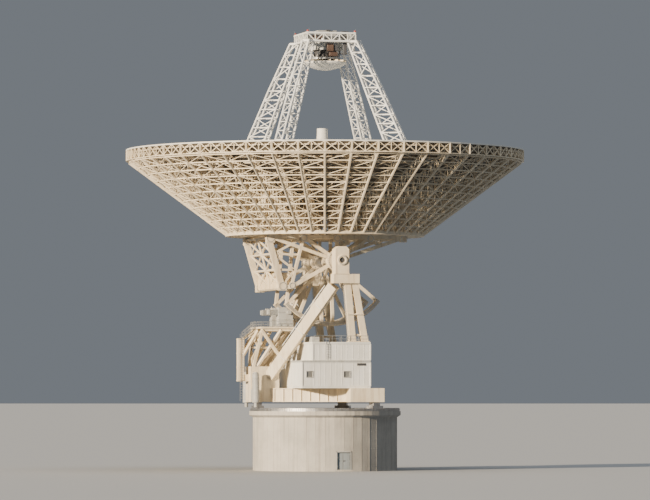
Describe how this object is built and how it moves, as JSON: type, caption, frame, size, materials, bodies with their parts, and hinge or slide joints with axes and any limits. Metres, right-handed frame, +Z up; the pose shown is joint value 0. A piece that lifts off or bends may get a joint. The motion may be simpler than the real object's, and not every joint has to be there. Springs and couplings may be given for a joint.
{
  "type": "radio telescope dish, 1:2 scale model of a 70 m altazimuth antenna",
  "caption": "Steerable radio telescope dish with lattice back structure, quadripod and alidade on a concrete drum pedestal, 1:2 scale model.",
  "frame": {"origin": "centre of the pedestal's underside, on the azimuth axis at ground level", "axes": "+Z up along the azimuth axis; +X the way the dish tips; the elevation axis is parallel to Y"},
  "size_m": [35, 35, 38.7],
  "materials": {
    "concrete": "matte",
    "frame_paint": "satin",
    "dish_paint": "matte",
    "wall_paint": "matte",
    "grey_paint": "satin",
    "door_paint": "satin",
    "machined_steel": "brushed"
  },
  "bodies": {
    "pedestal": {"pedestal_wall": "concrete", "pedestal_floor": "concrete", "pedestal_roof": "concrete", "pedestal_door": "door_paint", "azimuth_runner": "machined_steel"},
    "alidade": {"bearing_pad_front_left": "machined_steel", "bearing_pad_front_right": "machined_steel", "bearing_pad_rear": "machined_steel", "base_corner_front_left": "frame_paint", "base_corner_front_right": "frame_paint", "base_corner_rear": "frame_paint", "base_girder_left": "frame_paint", "base_girder_right": "frame_paint", "base_girder_front": "frame_paint", "azimuth_drive_left": "grey_paint", "azimuth_drive_right": "grey_paint", "front_leg_left": "frame_paint", "front_leg_right": "frame_paint", "rear_leg_left": "frame_paint", "rear_leg_right": "frame_paint", "elevation_bearing_left": "frame_paint", "elevation_bearing_right": "frame_paint", "drive_platform": "frame_paint", "elevation_drive_left": "grey_paint", "elevation_drive_right": "grey_paint", "building_floor": "wall_paint", "building_lower_walls": "wall_paint", "building_door": "door_paint", "building_upper_floor": "grey_paint", "building_upper_walls": "wall_paint", "building_roof": "wall_paint"},
    "dish": {"elevation_axle": "machined_steel", "side_frame_left": "frame_paint", "side_frame_right": "frame_paint", "elevation_wheel_left": "frame_paint", "elevation_wheel_right": "frame_paint", "counterweight": "frame_paint", "reflector_front_left": "dish_paint", "reflector_rear_left": "dish_paint", "reflector_rear_right": "dish_paint", "reflector_front_right": "dish_paint", "back_structure_front_left": "frame_paint", "back_structure_rear_left": "frame_paint", "back_structure_rear_right": "frame_paint", "back_structure_front_right": "frame_paint", "quadripod_leg_front_left": "frame_paint", "quadripod_leg_rear_left": "frame_paint", "quadripod_leg_rear_right": "frame_paint", "quadripod_leg_front_right": "frame_paint", "apex_frame": "frame_paint", "subreflector_positioner": "frame_paint", "subreflector": "dish_paint", "feed_base": "dish_paint", "feed_cone_1": "dish_paint", "feed_cone_2": "dish_paint", "feed_cone_3": "dish_paint"}
  },
  "joints": [
    {"name": "azimuth", "type": "hinge", "parent": "pedestal", "child": "alidade", "pos_m": [0, 0, 5.45], "axis": [0, 0, 1], "range_deg": [-265, 265]},
    {"name": "elevation", "type": "hinge", "parent": "alidade", "child": "dish", "pos_m": [0, 0, 18.3], "axis": [0, 1, 0], "range_deg": [0, 84]}
  ]
}
